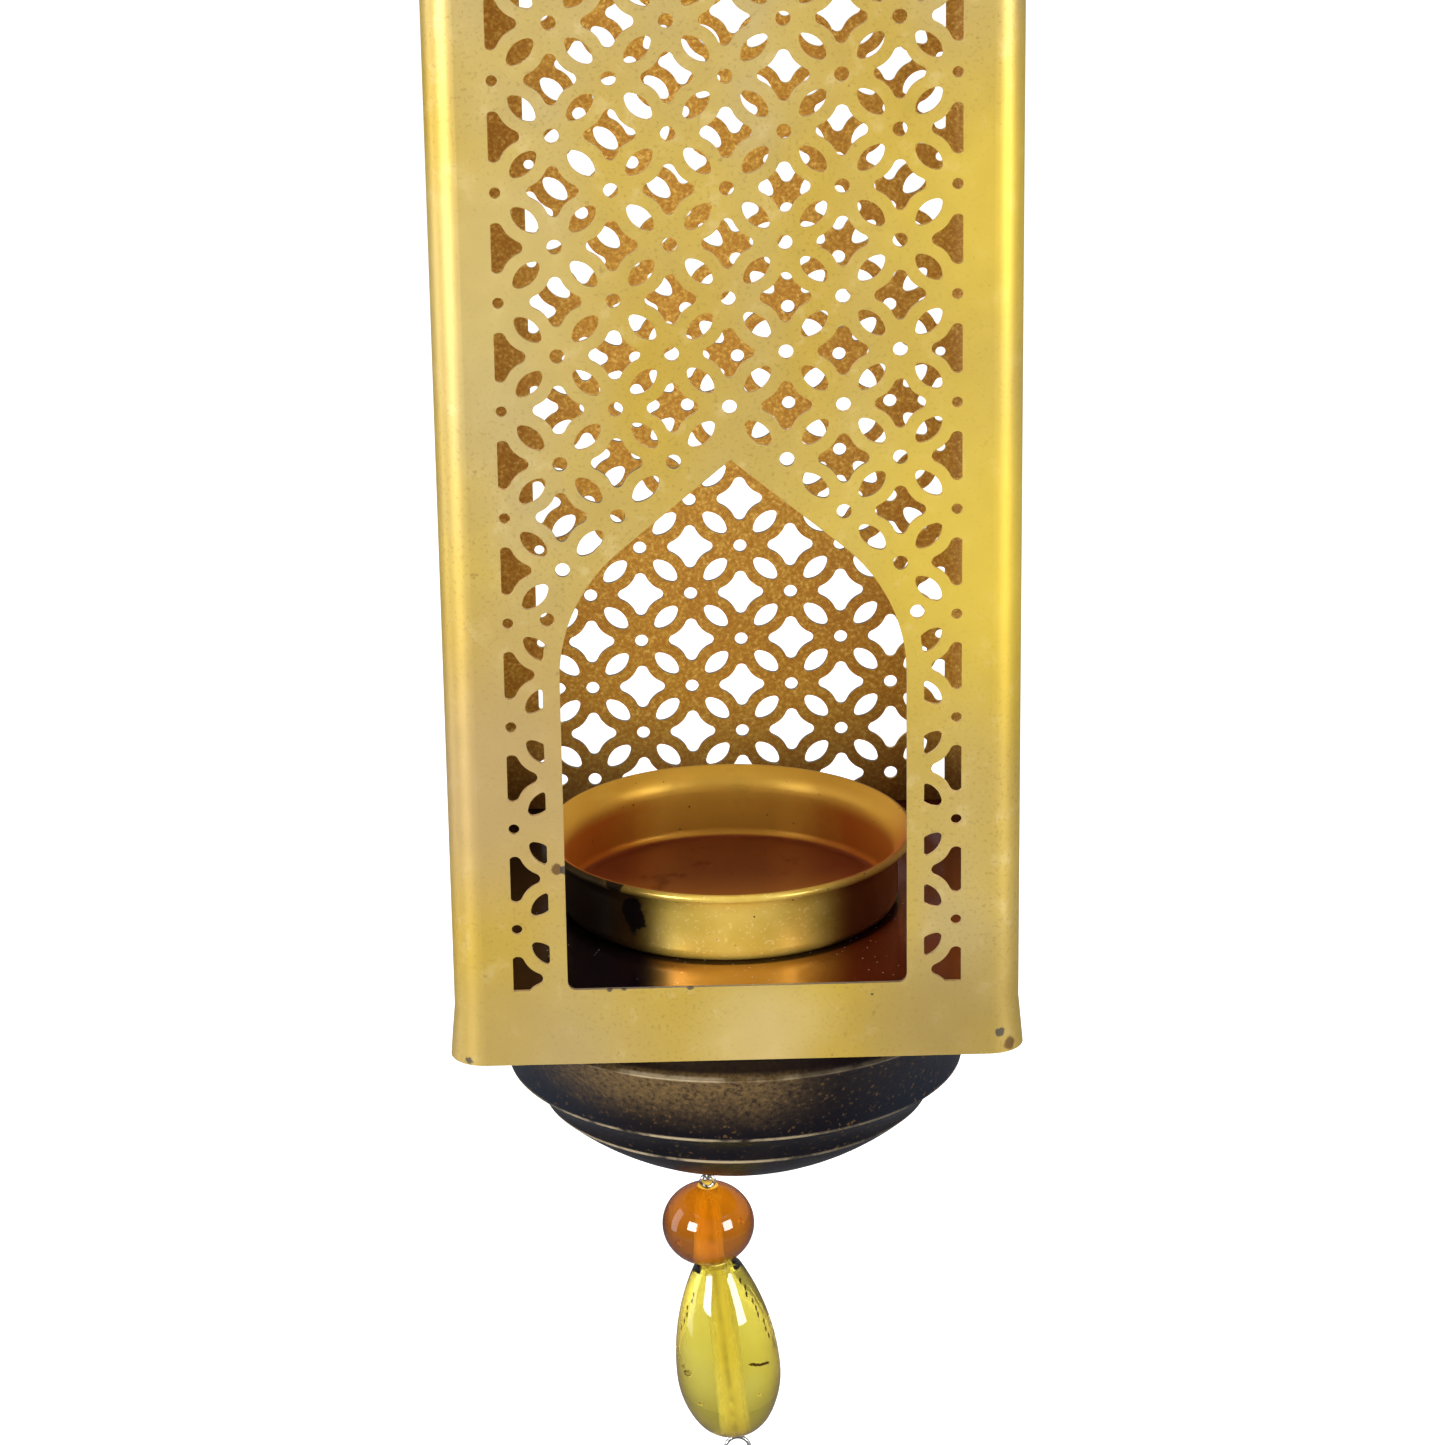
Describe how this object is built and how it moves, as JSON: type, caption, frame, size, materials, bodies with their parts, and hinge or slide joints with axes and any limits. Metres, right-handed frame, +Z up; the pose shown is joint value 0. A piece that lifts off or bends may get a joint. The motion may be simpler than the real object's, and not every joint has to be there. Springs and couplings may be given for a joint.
{
  "type": "hanging tealight lantern",
  "caption": "Hanging tealight holder: pierced square tower with an arched door, a candle cup on its floor, stepped bowls above and below, and glass beads under it.",
  "frame": {"origin": "where the inside of the hanging ring bears on its hook, on the tower's centre line", "axes": "+Z up, +Y away from the arched door, +X to the right seen from the door"},
  "size_m": [0.0662, 0.065, 0.3316],
  "materials": {
    "gold_paint": "satin, worn antique gold",
    "cup_paint": "satin gold, sooted",
    "floor_lacquer": "glossy brown lacquer",
    "dark_bronze": "dark bronze with gold overspray",
    "chain_steel": "darkened brass-plated steel wire",
    "bead_wire": "bright wire",
    "amber_glass": "clear amber glass",
    "olive_glass": "clear olive glass"
  },
  "bodies": {
    "ring": {"hanging_ring": "chain_steel"},
    "link_1": {"chain_link_1": "chain_steel"},
    "link_2": {"chain_link_2": "chain_steel"},
    "link_3": {"chain_link_3": "chain_steel"},
    "lantern": {"top_eye": "chain_steel", "eye_washer": "chain_steel", "top_dome": "dark_bronze", "top_plate": "gold_paint", "front_panel": "gold_paint", "back_panel": "gold_paint", "left_side_panel": "gold_paint", "right_side_panel": "gold_paint", "floor_plate": "floor_lacquer", "tealight_cup": "cup_paint", "bottom_bowl": "dark_bronze"},
    "bead_hook": {"bead_hook": "bead_wire"},
    "bead_pin": {"bead_pin": "bead_wire"},
    "round_bead": {"round_bead": "amber_glass"},
    "drop_bead": {"drop_bead": "olive_glass"}
  },
  "joints": [
    {"name": "link_1_swing", "type": "hinge", "parent": "ring", "child": "link_1", "pos_m": [0, 0, -0.0248], "axis": [1, 0, 0], "range_deg": [-50, 50]},
    {"name": "link_2_swing", "type": "hinge", "parent": "link_1", "child": "link_2", "pos_m": [0, 0, -0.0351], "axis": [0, 1, 0], "range_deg": [-50, 50]},
    {"name": "link_3_swing", "type": "hinge", "parent": "link_2", "child": "link_3", "pos_m": [0, 0, -0.0458], "axis": [1, 0, 0], "range_deg": [-50, 50]},
    {"name": "lantern_swing", "type": "hinge", "parent": "link_3", "child": "lantern", "pos_m": [0, 0, -0.0565], "axis": [0, 1, 0], "range_deg": [-45, 45]},
    {"name": "bead_hook_swing", "type": "hinge", "parent": "lantern", "child": "bead_hook", "pos_m": [0.0005, 0, -0.2848], "axis": [1, 0, 0], "range_deg": [-20, 20]},
    {"name": "bead_pin_swing", "type": "hinge", "parent": "bead_hook", "child": "bead_pin", "pos_m": [-0.00315, 0, -0.29015], "axis": [0, 1, 0], "range_deg": [-35, 35]},
    {"name": "round_bead_spin", "type": "hinge", "parent": "bead_pin", "child": "round_bead", "pos_m": [-0.00315, 0, -0.29604], "axis": [0, 0, 1], "continuous": true},
    {"name": "drop_bead_spin", "type": "hinge", "parent": "bead_pin", "child": "drop_bead", "pos_m": [-0.00115, 0, -0.31339], "axis": [-0.0872, 0, 0.9962], "continuous": true}
  ]
}
